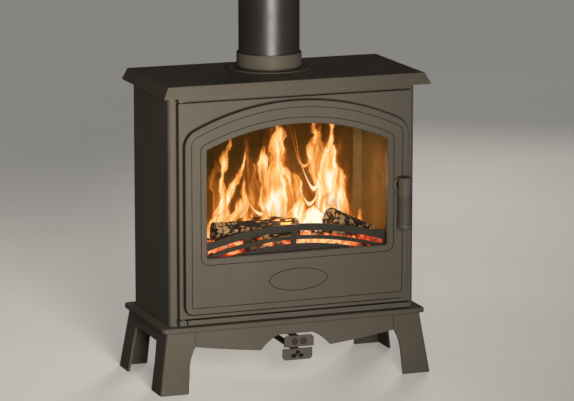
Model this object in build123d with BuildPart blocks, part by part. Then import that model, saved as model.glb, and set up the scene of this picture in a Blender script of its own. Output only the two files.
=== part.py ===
"""Free-standing wood and solid fuel stove on four splayed legs, in millimetres.

+Z is up, the door faces -Y and +X is to the right of someone facing the door. The origin is on the
floor, under the middle of the overall box.
"""

from build123d import *
import os
from math import asin, cos, degrees, radians, sin, sqrt

os.makedirs("parts", exist_ok=True)

# ---------------------------------------------------------------- driving dimensions
# body
body_width = 632.0
body_depth = 270.0
body_height = 562.0
steel = 4.0
corner_radius = 10.0
corner_return = 21.0

# base: plinth plate, legs and aprons
leg_height = 150.0
plinth_thickness = 12.0
plinth_overhang = 24.0
plinth_corner = 14.0
leg_inset_x = 12.0
leg_inset_y = 9.0
leg_splay_x = 23.0
leg_splay_y = 16.0
leg_width_x = 70.0
leg_width_y = 70.0
casting = 6.0
leg_corner_radius = 8.0
joint_gap = 0.25

# door
door_standoff = 25.0
door_margin = 17.5
door_plate = 14.0
panel_rise = 12.0
panel_margin = 12.0
panel_bottom_margin = 12.0
arch_radius = 605.0
arch_crown_below_door_top = 7.0
door_bottom_gap = 22.0
door_top_gap = 15.0
panel_shoulder = 46.0
panel_toe = 19.0
quirk_width = 4.5
quirk_depth = 7.0
groove_width = 2.2
groove_depth = 3.0
outer_bead = 14.5
window_frame = 39.5
window_bead = 14.5
window_sill_height = 134.0
glass_thickness = 4.0
glass_overlap = 8.0
gasket_thickness = 1.0
window_lip = 10.0
pocket_clearance = 1.0
seal_groove = 2.0
seal_gap_at_rest = 0.4
seal_inset = 17.0

# hinge and catch
hinge_pin_radius = 3.5
hinge_clearance = 0.08
hinge_inset = 8.5
hinge_setback = 7.0
hinge_block_width = 18.0
hinge_pin_depth = 18.0
handle_radius = 16.0
handle_standoff = 15.5
handle_above = 23.0
handle_below = 106.0
handle_inset = 33.5
handle_height = 295.5
spindle_radius = 6.0
spindle_clearance = 0.08
thread_radius = 4.5
escutcheon_radius = 20.5
recess_radius = 11.5
tongue_plate = 4.0
tongue_reach = 30.0
tongue_play = 0.5
keeper_plate = 1.2
nut_thickness = 4.0
nut_radius = 8.5

# top plate and flue
top_thickness = 28.0
top_lip = 3.0
top_overhang_side = 24.0
top_overhang_front = 45.0
top_overhang_back = 15.0
top_slope_side = 12.5
top_slope_front = 9.0
top_slope_back = 2.5
top_pocket_depth = 16.0
flue_radius = 75.0
flue_wall = 1.6
flue_length = 250.0
flue_set_back = 33.5
flange_radius = 104.0
flange_thickness = 3.0
collar_neck = 4.0
collar_wall = 3.5
collar_height = 33.0
collar_ledge = 5.0
seal_gap = 1.5

# fire chamber
opening_margin = 20.0
opening_sill = 45.0
opening_head = 37.0
brick = 26.0
brick_air_gap = 14.0
grate_height = 100.0
grate_thickness = 14.0
baffle_thickness = 10.0
baffle_slope = 0.35
fence_thickness = 6.0
fence_arc = 750.0
fence_crown = 231.0
fence_width = 500.0
fence_bars = (16.5, 12.0, 9.0, 11.0)

# air controls
tag_width = 76.0
tag_height = 27.5
tag_thickness = 5.0
air_travel = 45.0
wood_pulled = 12.0
rear_outlet_radius = 66.0

# ---------------------------------------------------------------- levels and planes
plinth_top = leg_height + plinth_thickness
body_top = plinth_top + body_height
top_top = body_top + top_thickness

front_reach = body_depth / 2 + door_standoff + panel_rise + handle_standoff + 2 * handle_radius
rear_reach = body_depth / 2 + plinth_overhang - leg_inset_y + leg_splay_y
y_mid = (front_reach - rear_reach) / 2

half_w = body_width / 2
half_d = body_depth / 2
y_front = y_mid - half_d
y_back = y_mid + half_d
y_plate = y_front - door_standoff
y_panel = y_plate - panel_rise
y_door_back = y_plate + door_plate

door_half = half_w - door_margin
door_bottom = plinth_top + door_bottom_gap
door_top = body_top - door_top_gap

flue_y = y_mid + flue_set_back


def front_plane(y):
    """Upright plane facing the front at depth y: local x is +X and local y is +Z."""
    return Plane.XZ.offset(-y)


def side_plane(x):
    """Upright plane facing +X at x: local x is +Y and local y is +Z."""
    return Plane.YZ.offset(x)


def save(part, name):
    """Labels a finished piece and writes it to its own STEP file."""
    part.label = name
    export_step(part, f"parts/{name}.step")
    return part


def mirror_x(part):
    return mirror(part, about=Plane.YZ)


def mirror_y(part):
    return mirror(part, about=Plane.XZ.offset(-y_mid))


# ---------------------------------------------------------------- legs
top_x = half_w + plinth_overhang - leg_inset_x
top_y = half_d + plinth_overhang - leg_inset_y
foot_x = top_x + leg_splay_x
foot_y = top_y + leg_splay_y
joint_x = top_x - leg_width_x
joint_y = top_y - leg_width_y
apron_knee = 112.0
side_knee = 118.0
foot_width = 72.0
foot_curve_height = 60.0
shin_lean = 4.5
web_reach = 40.0
flange_thick = 6.0
flange_x = 60.0
flange_y = 50.0
bolt_radius = 4.0
bolt_head = 7.0
bolt_head_height = 5.0
leg_bolt_spots = ((-44.0, -14.0), (-14.0, -36.0))


def corner_profile(outer_x, outer_y):
    """L-shaped section of the front left leg; its inner ends stay on the joint lines."""
    with BuildLine() as section:
        Polyline(
            (-outer_x, y_mid - outer_y),
            (-joint_x - joint_gap, y_mid - outer_y),
            (-joint_x - joint_gap, y_mid - outer_y + casting),
            (-outer_x + casting, y_mid - outer_y + casting),
            (-outer_x + casting, y_mid - joint_y - joint_gap),
            (-outer_x, y_mid - joint_y - joint_gap),
            close=True,
        )
    make_face(section.edges())


with BuildPart() as leg:
    with BuildSketch(Plane.XY):
        corner_profile(foot_x, foot_y)
    with BuildSketch(Plane.XY.offset(leg_height)):
        corner_profile(top_x, top_y)
    loft()
    # the hollow of the front web, seen from the front
    with BuildSketch(front_plane(y_mid)):
        with BuildLine():
            knee = (-joint_x, apron_knee)
            shin = (-foot_x + foot_width + shin_lean, foot_curve_height)
            heel = (-foot_x + foot_width, -1)
            straight = Line(heel, shin)
            TangentArc(shin, knee, tangent=straight % 1)
            Polyline(knee, (-joint_x + web_reach, apron_knee), (-joint_x + web_reach, -1), heel)
        make_face()
    extrude(amount=foot_y + 10, mode=Mode.SUBTRACT)
    # the hollow of the side web, seen from the side
    with BuildSketch(side_plane(0)):
        with BuildLine():
            knee = (y_mid - joint_y, side_knee)
            shin = (y_mid - foot_y + foot_width + shin_lean, foot_curve_height)
            heel = (y_mid - foot_y + foot_width, -1)
            straight = Line(heel, shin)
            TangentArc(shin, knee, tangent=straight % 1)
            web_back = y_mid - joint_y + web_reach
            Polyline(knee, (web_back, side_knee), (web_back, -1), heel)
        make_face()
    extrude(amount=-foot_x - 10, mode=Mode.SUBTRACT)
    # the bolting flange inside the top
    with BuildSketch(Plane.XY.offset(leg_height - flange_thick)):
        with Locations((-top_x + (casting + flange_x) / 2, y_mid - top_y + (casting + flange_y) / 2)):
            Rectangle(flange_x, flange_y)
    extrude(amount=flange_thick)
    outer_edge = leg.edges().filter_by(lambda e: e.length > leg_height * 0.98).sort_by(
        lambda e: e.center().X + e.center().Y
    )[0]
    fillet(outer_edge, leg_corner_radius - 2)
    with BuildSketch(Plane.XY.offset(leg_height)):
        for dx, dy in leg_bolt_spots:
            with Locations((-top_x - dx, y_mid - top_y - dy)):
                Circle(bolt_radius)
    extrude(amount=-flange_thick - 2, mode=Mode.SUBTRACT)

save(leg.part, "leg_front_left")
save(mirror_x(leg.part), "leg_front_right")
save(mirror_y(leg.part), "leg_rear_left")
save(mirror_x(mirror_y(leg.part)), "leg_rear_right")

bolt_spots = [
    (sx * (top_x + dx), y_mid + sy * (top_y + dy))
    for dx, dy in leg_bolt_spots
    for sx in (-1, 1)
    for sy in (-1, 1)
]

with BuildPart() as leg_bolts:
    for spot in bolt_spots:
        with BuildSketch(Plane.XY.offset(leg_height - flange_thick - bolt_head_height)):
            with Locations(spot):
                RegularPolygon(bolt_head, 6)
        extrude(amount=bolt_head_height)
        with BuildSketch(Plane.XY.offset(leg_height - flange_thick)):
            with Locations(spot):
                Circle(bolt_radius)
        extrude(amount=flange_thick + plinth_thickness - 2)
save(leg_bolts.part, "leg_bolts")

# ---------------------------------------------------------------- aprons
apron_point = (90.0, 90.0)
notch_shoulder = (68.0, 111.0)
notch_top = (44.0, 124.5)
apron_belly = (174.0, 99.5)
lean = Vector(0, -leg_height, leg_splay_y)
front_lean = Plane(origin=(0, y_mid - top_y, leg_height), x_dir=(1, 0, 0), z_dir=lean)
end_x = joint_x - joint_gap


def below_top(point, side=1):
    """A point given as (x, height above the floor), on a leaning plane whose origin is at leg_height."""
    return (side * point[0], point[1] - leg_height)


with BuildPart() as apron_front:
    with BuildSketch(front_lean):
        with BuildLine():
            for s in (-1, 1):
                Line(below_top((end_x, leg_height), s), below_top((end_x, apron_knee), s))
                ThreePointArc(
                    below_top((end_x, apron_knee), s),
                    below_top(apron_belly, s),
                    below_top(apron_point, s),
                )
                ThreePointArc(
                    below_top(apron_point, s),
                    below_top(notch_shoulder, s),
                    below_top(notch_top, s),
                )
            Line(below_top(notch_top, -1), below_top(notch_top))
            Line(below_top((end_x, leg_height), -1), below_top((end_x, leg_height)))
        make_face()
    extrude(amount=-casting)
    chamfer(apron_front.edges().filter_by(lambda e: abs(e.center().X) > end_x - 1 and e.length > 20), 0.8)
save(apron_front.part, "apron_front")

rear_lean = Plane(
    origin=(0, y_mid + top_y, leg_height),
    x_dir=(-1, 0, 0),
    z_dir=(0, leg_height, leg_splay_y),
)
with BuildPart() as apron_rear:
    with BuildSketch(rear_lean):
        with Locations((0, (side_knee - leg_height) / 2)):
            Rectangle(2 * end_x, leg_height - side_knee)
    extrude(amount=-casting)
save(apron_rear.part, "apron_rear")

left_lean = Plane(
    origin=(-top_x, y_mid, leg_height),
    x_dir=(0, -1, 0),
    z_dir=(-leg_height, 0, leg_splay_x),
)
with BuildPart() as apron_left:
    with BuildSketch(left_lean):
        with Locations((0, (side_knee - leg_height) / 2)):
            Rectangle(2 * (joint_y - joint_gap), leg_height - side_knee)
    extrude(amount=-casting)
save(apron_left.part, "apron_left")
save(mirror_x(apron_left.part), "apron_right")

# ---------------------------------------------------------------- air ports
wood_port_y = y_front + 72.0
coal_port_y = y_front + 215.0
port_length = 50.0
port_width = 18.0
port_spots = [(0, wood_port_y), (0, coal_port_y)]

# ---------------------------------------------------------------- plinth plate and body floor
with BuildPart() as plinth:
    with BuildSketch(Plane.XY.offset(leg_height)):
        with Locations((0, y_mid)):
            RectangleRounded(
                body_width + 2 * plinth_overhang,
                body_depth + 2 * plinth_overhang,
                plinth_corner,
            )
        with Locations(*port_spots):
            Rectangle(port_length, port_width, mode=Mode.SUBTRACT)
        with Locations(*bolt_spots):
            Circle(bolt_radius, mode=Mode.SUBTRACT)
    extrude(amount=plinth_thickness)
    rim = plinth.faces().sort_by(Axis.Z)[-1].outer_wire().edges()
    fillet(rim, 4.0)
    under = plinth.faces().sort_by(Axis.Z)[0].outer_wire().edges()
    fillet(under, 2.0)
save(plinth.part, "base_plate")

with BuildPart() as body_floor:
    with BuildSketch(Plane.XY.offset(plinth_top)):
        with Locations((0, (y_front + y_back + casting - steel) / 2)):
            Rectangle(body_width - 2 * steel, body_depth - casting - steel)
        with Locations(*port_spots):
            Rectangle(port_length, port_width, mode=Mode.SUBTRACT)
    extrude(amount=steel)
    front_corners = body_floor.edges().filter_by(Axis.Z).group_by(Axis.Y)[0]
    fillet(front_corners, corner_radius - steel)
save(body_floor.part, "body_floor")

# ---------------------------------------------------------------- body shell
with BuildPart() as side_panel:
    with BuildSketch(Plane.XY.offset(plinth_top)):
        with BuildLine():
            outer = FilletPolyline(
                (-half_w, y_back),
                (-half_w, y_front),
                (-half_w + corner_return, y_front),
                radius=corner_radius,
            )
            inner = FilletPolyline(
                (-half_w + steel, y_back),
                (-half_w + steel, y_front + steel),
                (-half_w + corner_return, y_front + steel),
                radius=corner_radius - steel,
            )
            Line(outer @ 0, inner @ 0)
            Line(outer @ 1, inner @ 1)
        make_face()
    extrude(amount=body_height)
save(side_panel.part, "side_panel_left")
save(mirror_x(side_panel.part), "side_panel_right")

rear_outlet_z = body_top - 116.0
cover_radius = rear_outlet_radius + 24.0
cover_bolt_circle = rear_outlet_radius + 12.0
cover_bolts = 3

with BuildPart() as back_panel:
    with BuildSketch(front_plane(y_back)):
        with Locations((0, plinth_top + body_height / 2)):
            Rectangle(body_width - 2 * steel, body_height)
        with Locations((0, rear_outlet_z)):
            Circle(rear_outlet_radius, mode=Mode.SUBTRACT)
            with PolarLocations(cover_bolt_circle, cover_bolts, start_angle=90):
                Circle(bolt_radius, mode=Mode.SUBTRACT)
    extrude(amount=steel)
save(back_panel.part, "back_panel")

cover_thickness = 6.0
with BuildPart() as rear_cover:
    with BuildSketch(front_plane(y_back)):
        with Locations((0, rear_outlet_z)):
            Circle(cover_radius)
            with PolarLocations(cover_bolt_circle, cover_bolts, start_angle=90):
                Circle(bolt_radius, mode=Mode.SUBTRACT)
    extrude(amount=-cover_thickness)
    fillet(rear_cover.faces().sort_by(Axis.Y)[-1].outer_wire().edges(), 1.5)
save(rear_cover.part, "rear_outlet_cover")

with BuildPart() as rear_bolts:
    with BuildSketch(front_plane(y_back + cover_thickness)):
        with Locations((0, rear_outlet_z)):
            with PolarLocations(cover_bolt_circle, cover_bolts, start_angle=90):
                RegularPolygon(bolt_head, 6)
    extrude(amount=-bolt_head_height)
    with BuildSketch(front_plane(y_back + cover_thickness)):
        with Locations((0, rear_outlet_z)):
            with PolarLocations(cover_bolt_circle, cover_bolts, start_angle=90):
                Circle(bolt_radius)
    extrude(amount=cover_thickness + steel + 1)
save(rear_bolts.part, "rear_cover_bolts")

# ---------------------------------------------------------------- front frame, bottom rail, hinge blocks
frame_half = half_w - corner_return - joint_gap
opening_half = frame_half - opening_margin
opening_bottom = plinth_top + opening_sill
opening_top = body_top - opening_head

with BuildPart() as front_frame:
    with BuildSketch(front_plane(y_front)):
        with Locations((0, plinth_top + body_height / 2)):
            Rectangle(2 * frame_half, body_height)
        with Locations((0, (opening_bottom + opening_top) / 2)):
            Rectangle(2 * opening_half, opening_top - opening_bottom, mode=Mode.SUBTRACT)
    extrude(amount=-casting)
save(front_frame.part, "front_frame")

rail_bottom = plinth_top + 6.0
rail_top = rail_bottom + 12.0
block_left = -door_half
block_right = block_left + hinge_block_width
hinge_x = -door_half + hinge_inset
hinge_y = y_plate + hinge_setback
block_depth = door_standoff

with BuildPart() as bottom_rail:
    with BuildSketch(Plane.XY.offset(rail_bottom)):
        with Locations(((block_right + 3 + door_half) / 2, y_plate + block_depth / 2)):
            Rectangle(door_half - block_right - 3, block_depth)
    extrude(amount=rail_top - rail_bottom)
    fillet(bottom_rail.edges().filter_by(Axis.X).group_by(Axis.Y)[0], 1.5)
save(bottom_rail.part, "bottom_rail")

upper_block_bottom = door_top + 3.3
upper_block_top = body_top - 1.5

with BuildPart() as hinge_blocks:
    for low, high in ((rail_bottom, rail_top), (upper_block_bottom, upper_block_top)):
        with BuildSketch(Plane.XY.offset(low)):
            with Locations(((block_left + block_right) / 2, y_plate + block_depth / 2)):
                Rectangle(hinge_block_width, block_depth)
            with Locations((hinge_x, hinge_y)):
                Circle(hinge_pin_radius, mode=Mode.SUBTRACT)
        extrude(amount=high - low)
    fillet(hinge_blocks.edges().filter_by(Axis.Z).group_by(Axis.Y)[0], 1.5)
save(hinge_blocks.part, "hinge_blocks")

with BuildPart() as hinge_pins:
    for low, high in (
        (rail_bottom, door_bottom + hinge_pin_depth),
        (door_top - hinge_pin_depth, upper_block_top),
    ):
        with BuildSketch(Plane.XY.offset(low)):
            with Locations((hinge_x, hinge_y)):
                Circle(hinge_pin_radius)
        extrude(amount=high - low)
save(hinge_pins.part, "hinge_pins")

washer_play = 0.3
with BuildPart() as hinge_washers:
    for low, high in (
        (rail_top, door_bottom - washer_play),
        (door_top + washer_play, upper_block_bottom),
    ):
        with BuildSketch(Plane.XY.offset(low)):
            with Locations((hinge_x, hinge_y)):
                Circle(hinge_pin_radius + 3.5)
                Circle(hinge_pin_radius, mode=Mode.SUBTRACT)
        extrude(amount=high - low)
save(hinge_washers.part, "hinge_washers")

# ---------------------------------------------------------------- top plate
top_front = y_front - top_overhang_front
top_back = y_back + top_overhang_back
top_half = half_w + top_overhang_side
pocket_inset = 16.0


def rectangle_between(x_half, y_low, y_high):
    """A rectangle on the sketch plane, centred in x, between two depths."""
    with Locations((0, (y_low + y_high) / 2)):
        Rectangle(2 * x_half, y_high - y_low)


with BuildPart() as top_plate:
    with BuildSketch(Plane.XY.offset(body_top)):
        rectangle_between(top_half, top_front, top_back)
    extrude(amount=top_lip)
    with BuildSketch(Plane.XY.offset(body_top + top_lip)):
        rectangle_between(top_half, top_front, top_back)
    with BuildSketch(Plane.XY.offset(top_top)):
        rectangle_between(top_half - top_slope_side, top_front + top_slope_front, top_back - top_slope_back)
    loft()
    fillet(top_plate.faces().sort_by(Axis.Z)[-1].edges(), 2.5)
    with BuildSketch(Plane.XY.offset(body_top)):
        rectangle_between(half_w - pocket_inset, y_front + pocket_inset, y_back - pocket_inset)
    extrude(amount=top_pocket_depth, mode=Mode.SUBTRACT)
    with BuildSketch(Plane.XY.offset(body_top)):
        with Locations((0, flue_y)):
            Circle(flue_radius - flue_wall)
    extrude(amount=top_thickness, mode=Mode.SUBTRACT)
save(top_plate.part, "top_plate")

# ---------------------------------------------------------------- flue collar, seal and pipe
neck_top = top_top + flange_thickness + collar_neck
ledge_top = neck_top + collar_ledge
collar_top = neck_top + collar_height
socket_radius = flue_radius + seal_gap
collar_radius = socket_radius + collar_wall


def ring(z, height, outer, inner):
    """A tube round the flue's axis, added to the part being built."""
    with BuildSketch(Plane.XY.offset(z)) as section:
        with Locations((0, flue_y)):
            Circle(outer)
            Circle(inner, mode=Mode.SUBTRACT)
    extrude(section.sketch, amount=height)


with BuildPart() as flue_collar:
    ring(top_top, flange_thickness, flange_radius, flue_radius - flue_wall)
    fillet(flue_collar.faces().sort_by(Axis.Z)[-1].outer_wire().edges(), 2.0)
    ring(top_top + flange_thickness, collar_neck, collar_radius - 3.0, flue_radius - flue_wall)
    ring(neck_top, ledge_top - neck_top, collar_radius, flue_radius - flue_wall)
    ring(ledge_top, collar_top - ledge_top, collar_radius, socket_radius)
    fillet(flue_collar.faces().sort_by(Axis.Z)[-1].outer_wire().edges(), 1.0)
save(flue_collar.part, "flue_collar")

with BuildPart() as flue_seal:
    ring(ledge_top, collar_top - ledge_top - 1.5, socket_radius, flue_radius)
save(flue_seal.part, "flue_seal")

with BuildPart() as flue_pipe:
    ring(ledge_top, flue_length, flue_radius, flue_radius - flue_wall)
save(flue_pipe.part, "flue_pipe")

# ---------------------------------------------------------------- grate, ash pan, bricks, baffle
grate_bottom = plinth_top + grate_height
grate_top = grate_bottom + grate_thickness
inner_half = half_w - steel
grate_front = y_front + casting + 1.0
brick_front = y_front + 17.0
brick_outer = inner_half - brick_air_gap
brick_inner = brick_outer - brick
rear_brick_back = y_back - steel - brick_air_gap + 1.0
rear_brick_front = rear_brick_back - brick

shelf_reach = 46.0
shelf_drop = 28.0
with BuildPart() as grate_supports:
    for s in (-1, 1):
        with BuildSketch(front_plane(y_front + corner_radius)):
            with BuildLine():
                Polyline(
                    (s * inner_half, grate_bottom),
                    (s * (inner_half - shelf_reach), grate_bottom),
                    (s * (inner_half - shelf_reach), grate_bottom - steel),
                    (s * (inner_half - steel), grate_bottom - steel),
                    (s * (inner_half - steel), grate_bottom - shelf_drop),
                    (s * inner_half, grate_bottom - shelf_drop),
                    close=True,
                )
            make_face()
        extrude(amount=-(body_depth - corner_radius - steel - 2))
save(grate_supports.part, "grate_supports")

slot_width = 11.0
slot_length = 60.0
slot_pitch_x = 25.0
slot_pitch_y = 74.0
slots_across = 15
with BuildPart() as grate:
    with BuildSketch(Plane.XY.offset(grate_bottom)):
        rectangle_between(inner_half - 2, grate_front, y_back - steel - 2)
        with Locations((0, y_mid - 5)):
            with GridLocations(slot_pitch_x, slot_pitch_y, slots_across, 2):
                SlotOverall(slot_length, slot_width, rotation=90, mode=Mode.SUBTRACT)
    extrude(amount=grate_thickness)
save(grate.part, "grate")

pan_half = 150.0
pan_front = y_front + 24.0
pan_back = y_back - 34.0
pan_height = 46.0
pan_wall = 2.0
pan_lip_half = 45.0
pan_lip_reach = 14.0
runner_height = 10.0
runner_width = 12.0
pan_bottom = plinth_top + steel + runner_height
with BuildPart() as ash_pan:
    with BuildSketch(Plane.XY.offset(pan_bottom)):
        rectangle_between(pan_half, pan_front, pan_back)
    extrude(amount=pan_height)
    fillet(ash_pan.edges().filter_by(Axis.Z), 8.0)
    with BuildSketch(Plane.XY.offset(pan_bottom + pan_wall)):
        rectangle_between(pan_half - pan_wall, pan_front + pan_wall, pan_back - pan_wall)
    extrude(amount=pan_height, mode=Mode.SUBTRACT)
    # the lip that a lifting tool hooks under
    with BuildSketch(Plane.XY.offset(pan_bottom + pan_height - pan_wall)):
        rectangle_between(pan_lip_half, pan_front - pan_lip_reach, pan_front + pan_wall)
    extrude(amount=pan_wall)
save(ash_pan.part, "ash_pan")

baffle_back = rear_brick_back - 2.0
baffle_front = y_mid - 70.0
baffle_base = body_top - 112.0


def baffle_under(y):
    """Height of the baffle's underside at depth y: it climbs towards the front."""
    return baffle_base + (rear_brick_front - y) * baffle_slope


with BuildPart() as side_brick:
    with BuildSketch(side_plane(-brick_outer)):
        with BuildLine():
            Polyline(
                (brick_front, grate_top),
                (rear_brick_back, grate_top),
                (rear_brick_back, baffle_under(rear_brick_back)),
                (brick_front, baffle_under(brick_front)),
                close=True,
            )
        make_face()
    extrude(amount=brick)
    chamfer(side_brick.faces().sort_by(Axis.X)[-1].edges(), 2.0)
save(side_brick.part, "firebrick_left")
save(mirror_x(side_brick.part), "firebrick_right")

with BuildPart() as rear_brick:
    with BuildSketch(side_plane(joint_gap)):
        with BuildLine():
            Polyline(
                (rear_brick_front, grate_top),
                (rear_brick_back, grate_top),
                (rear_brick_back, baffle_under(rear_brick_back)),
                (rear_brick_front, baffle_under(rear_brick_front)),
                close=True,
            )
        make_face()
    extrude(amount=brick_inner - 2 * joint_gap)
    chamfer(rear_brick.faces().sort_by(Axis.Y)[0].edges(), 2.0)
save(rear_brick.part, "firebrick_rear_right")
save(mirror_x(rear_brick.part), "firebrick_rear_left")

with BuildPart() as baffle:
    with BuildSketch(side_plane(-brick_outer)):
        with BuildLine():
            Polyline(
                (baffle_front, baffle_under(baffle_front)),
                (baffle_back, baffle_under(baffle_back)),
                (baffle_back, baffle_under(baffle_back) + baffle_thickness),
                (baffle_front, baffle_under(baffle_front) + baffle_thickness),
                close=True,
            )
        make_face()
    extrude(amount=2 * brick_outer)
save(baffle.part, "baffle_plate")

deflector_half = brick_inner - 4.0
deflector_back = y_front + 35.0
deflector_low = opening_top - 16.0
deflector_high = body_top - 8.0
with BuildPart() as airwash:
    with BuildSketch(side_plane(-deflector_half)):
        with BuildLine():
            Polyline(
                (y_front + casting, deflector_high),
                (deflector_back, deflector_high),
                (deflector_back, deflector_low),
                (deflector_back - 3, deflector_low),
                (deflector_back - 3, deflector_high - 3),
                (y_front + casting, deflector_high - 3),
                close=True,
            )
        make_face()
    extrude(amount=2 * deflector_half)
save(airwash.part, "airwash_deflector")

# ---------------------------------------------------------------- fuel: ember bed and logs
ember_top = grate_top + 84.0
ember_front = y_front + 23.0

# each log: radius, then each end as (x, depth from the body's middle, height over the embers)
logs = {
    "log_left": (29.0, (-186.0, -76.0, 9.0), (34.0, -72.0, 5.0)),
    "log_right": (31.0, (118.0, -76.0, 26.0), (232.0, -36.0, -30.0)),
    "log_rear": (27.0, (-120.0, 6.0, 4.0), (132.0, 24.0, 4.0)),
}
log_parts = []
for log_name, (log_radius, start, end) in logs.items():
    a = Vector(start[0], y_mid + start[1], ember_top + start[2])
    b = Vector(end[0], y_mid + end[1], ember_top + end[2])
    with BuildPart() as log:
        with BuildSketch(Plane(origin=a, z_dir=b - a)):
            Circle(log_radius)
        extrude(amount=(b - a).length)
        fillet(log.edges().filter_by(GeomType.CIRCLE), 3.0)
    log_parts.append(save(log.part, log_name))

with BuildPart() as ember_bed:
    with BuildSketch(Plane.XY.offset(grate_top)):
        rectangle_between(brick_inner - 12, ember_front, rear_brick_front - 5)
    extrude(amount=ember_top - grate_top)
    fillet(ember_bed.edges().filter_by(Axis.Z), 30.0)
    fillet(ember_bed.faces().sort_by(Axis.Z)[-1].edges(), 14.0)
    # the bed is hollowed where the logs lie in it
    for log_part in log_parts:
        add(log_part, mode=Mode.SUBTRACT)
save(ember_bed.part, "ember_bed")

# ---------------------------------------------------------------- log fence
fence_front = y_front - fence_thickness
fence_half = fence_width / 2
fence_top = plinth_top + fence_crown
fence_centre = fence_top - fence_arc
fence_shoulder_x = 205.0
post_half = 6.5
end_post = 18.0
fence_foot_x = 190.0
fence_foot = 22.0
fence_foot_thick = 5.0
fence_play = 0.4


def arc_height(radius, x):
    """Height of a fence arc at x: every arc shares one centre on the middle line."""
    return fence_centre + sqrt(radius**2 - x**2)


shoulder_z = arc_height(fence_arc, fence_shoulder_x)
slot_edges = [fence_arc - sum(fence_bars[:n]) for n in range(1, len(fence_bars) + 1)]

with BuildPart() as log_fence:
    with BuildSketch(front_plane(fence_front)):
        with BuildLine():
            ThreePointArc(
                (-fence_shoulder_x, shoulder_z),
                (0, fence_top),
                (fence_shoulder_x, shoulder_z),
            )
            Polyline(
                (fence_shoulder_x, shoulder_z),
                (fence_half, shoulder_z),
                (fence_half, grate_top + fence_play),
                (-fence_half, grate_top + fence_play),
                (-fence_half, shoulder_z),
                (-fence_shoulder_x, shoulder_z),
            )
        make_face()
        for upper, lower in (slot_edges[0:2], slot_edges[2:4]):
            for s in (-1, 1):
                near = s * post_half
                far = s * (fence_half - end_post)
                middle = (near + far) / 2
                with BuildLine():
                    ThreePointArc(
                        (near, arc_height(upper, near)),
                        (middle, arc_height(upper, middle)),
                        (far, arc_height(upper, far)),
                    )
                    ThreePointArc(
                        (near, arc_height(lower, near)),
                        (middle, arc_height(lower, middle)),
                        (far, arc_height(lower, far)),
                    )
                    Line((near, arc_height(upper, near)), (near, arc_height(lower, near)))
                    Line((far, arc_height(upper, far)), (far, arc_height(lower, far)))
                make_face(mode=Mode.SUBTRACT)
    extrude(amount=-fence_thickness)
    # feet that stand on the grate's front edge
    with BuildSketch(Plane.XY.offset(grate_top + fence_play)):
        with Locations((-fence_foot_x, y_front + 10), (fence_foot_x, y_front + 10)):
            Rectangle(fence_foot, fence_foot)
    extrude(amount=fence_foot_thick)
save(log_fence.part, "log_fence")

# ---------------------------------------------------------------- door casting
panel_half = door_half - panel_margin
panel_bottom = door_bottom + panel_bottom_margin
arch_crown = door_top - arch_crown_below_door_top
arch_centre = arch_crown - arch_radius
sight_line = door_bottom + window_sill_height
window_half = panel_half - window_frame
sight_half = window_half - window_bead
sight_bottom = sight_line + window_bead - 1.5
sight_radius = arch_radius - window_frame - window_bead - 2.0
sight_spring = arch_centre + sqrt(sight_radius**2 - sight_half**2)


def corners_at(shape, height):
    """The outline's corners at one height."""
    return shape.vertices().filter_by(lambda v: abs(v.Y - height) < 0.01)


def panel_face(inset):
    """The raised panel's outline, drawn in by inset."""
    with BuildSketch(Plane.XY, mode=Mode.PRIVATE) as shape:
        half = panel_half - inset
        radius = arch_radius - inset
        bottom = panel_bottom + inset
        spring = arch_centre + sqrt(radius**2 - half**2)
        with BuildLine():
            Polyline((-half, spring), (-half, bottom), (half, bottom), (half, spring))
            ThreePointArc((half, spring), (0, arch_centre + radius), (-half, spring))
        make_face()
        fillet(corners_at(shape, spring), panel_shoulder - 1.5 * inset)
        fillet(corners_at(shape, bottom), max(panel_toe - inset, 1.0))
    return shape.sketch


def window_face(outset):
    """The glass opening's outline, let out by outset (negative draws it in)."""
    with BuildSketch(Plane.XY, mode=Mode.PRIVATE) as shape:
        half = sight_half + outset
        radius = sight_radius + outset
        bottom = sight_bottom - outset
        spring = arch_centre + sqrt(radius**2 - half**2)
        with BuildLine():
            Polyline((-half, spring), (-half, bottom), (half, bottom), (half, spring))
            ThreePointArc((half, spring), (0, arch_centre + radius), (-half, spring))
        make_face()
        fillet(corners_at(shape, spring), max(outset + 3.0, 1.5))
        fillet(corners_at(shape, bottom), max(outset + 4.0, 1.5))
    return shape.sketch


handle_x = door_half - handle_inset
handle_z = door_bottom + handle_height
handle_y = y_panel - handle_standoff - handle_radius
badge_x_radius = 75.5
badge_z_radius = 28.0
badge_height = 80.0
boss_rise = 3.0
recess_depth = 5.0
skin = 8.0
shelf = 20.0
shelf_y = y_panel + window_lip + 2 * gasket_thickness + glass_thickness
seal_floor = y_door_back - seal_groove
seal_radius = (y_front - seal_gap_at_rest - seal_floor) / 2
seal_corner = 14.0
hollow_margin = 34.0
hollow_low = door_bottom + seal_inset + 14.0
hollow_high = sight_bottom - shelf - 10.0
hollow_corner = 12.0
through = 60.0


def seal_outline(offset):
    """The path of the rope seal, let out by offset."""
    with Locations((0, (door_bottom + door_top) / 2)):
        RectangleRounded(
            2 * (door_half - seal_inset + offset),
            door_top - door_bottom - 2 * seal_inset + 2 * offset,
            seal_corner + offset,
        )


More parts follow.
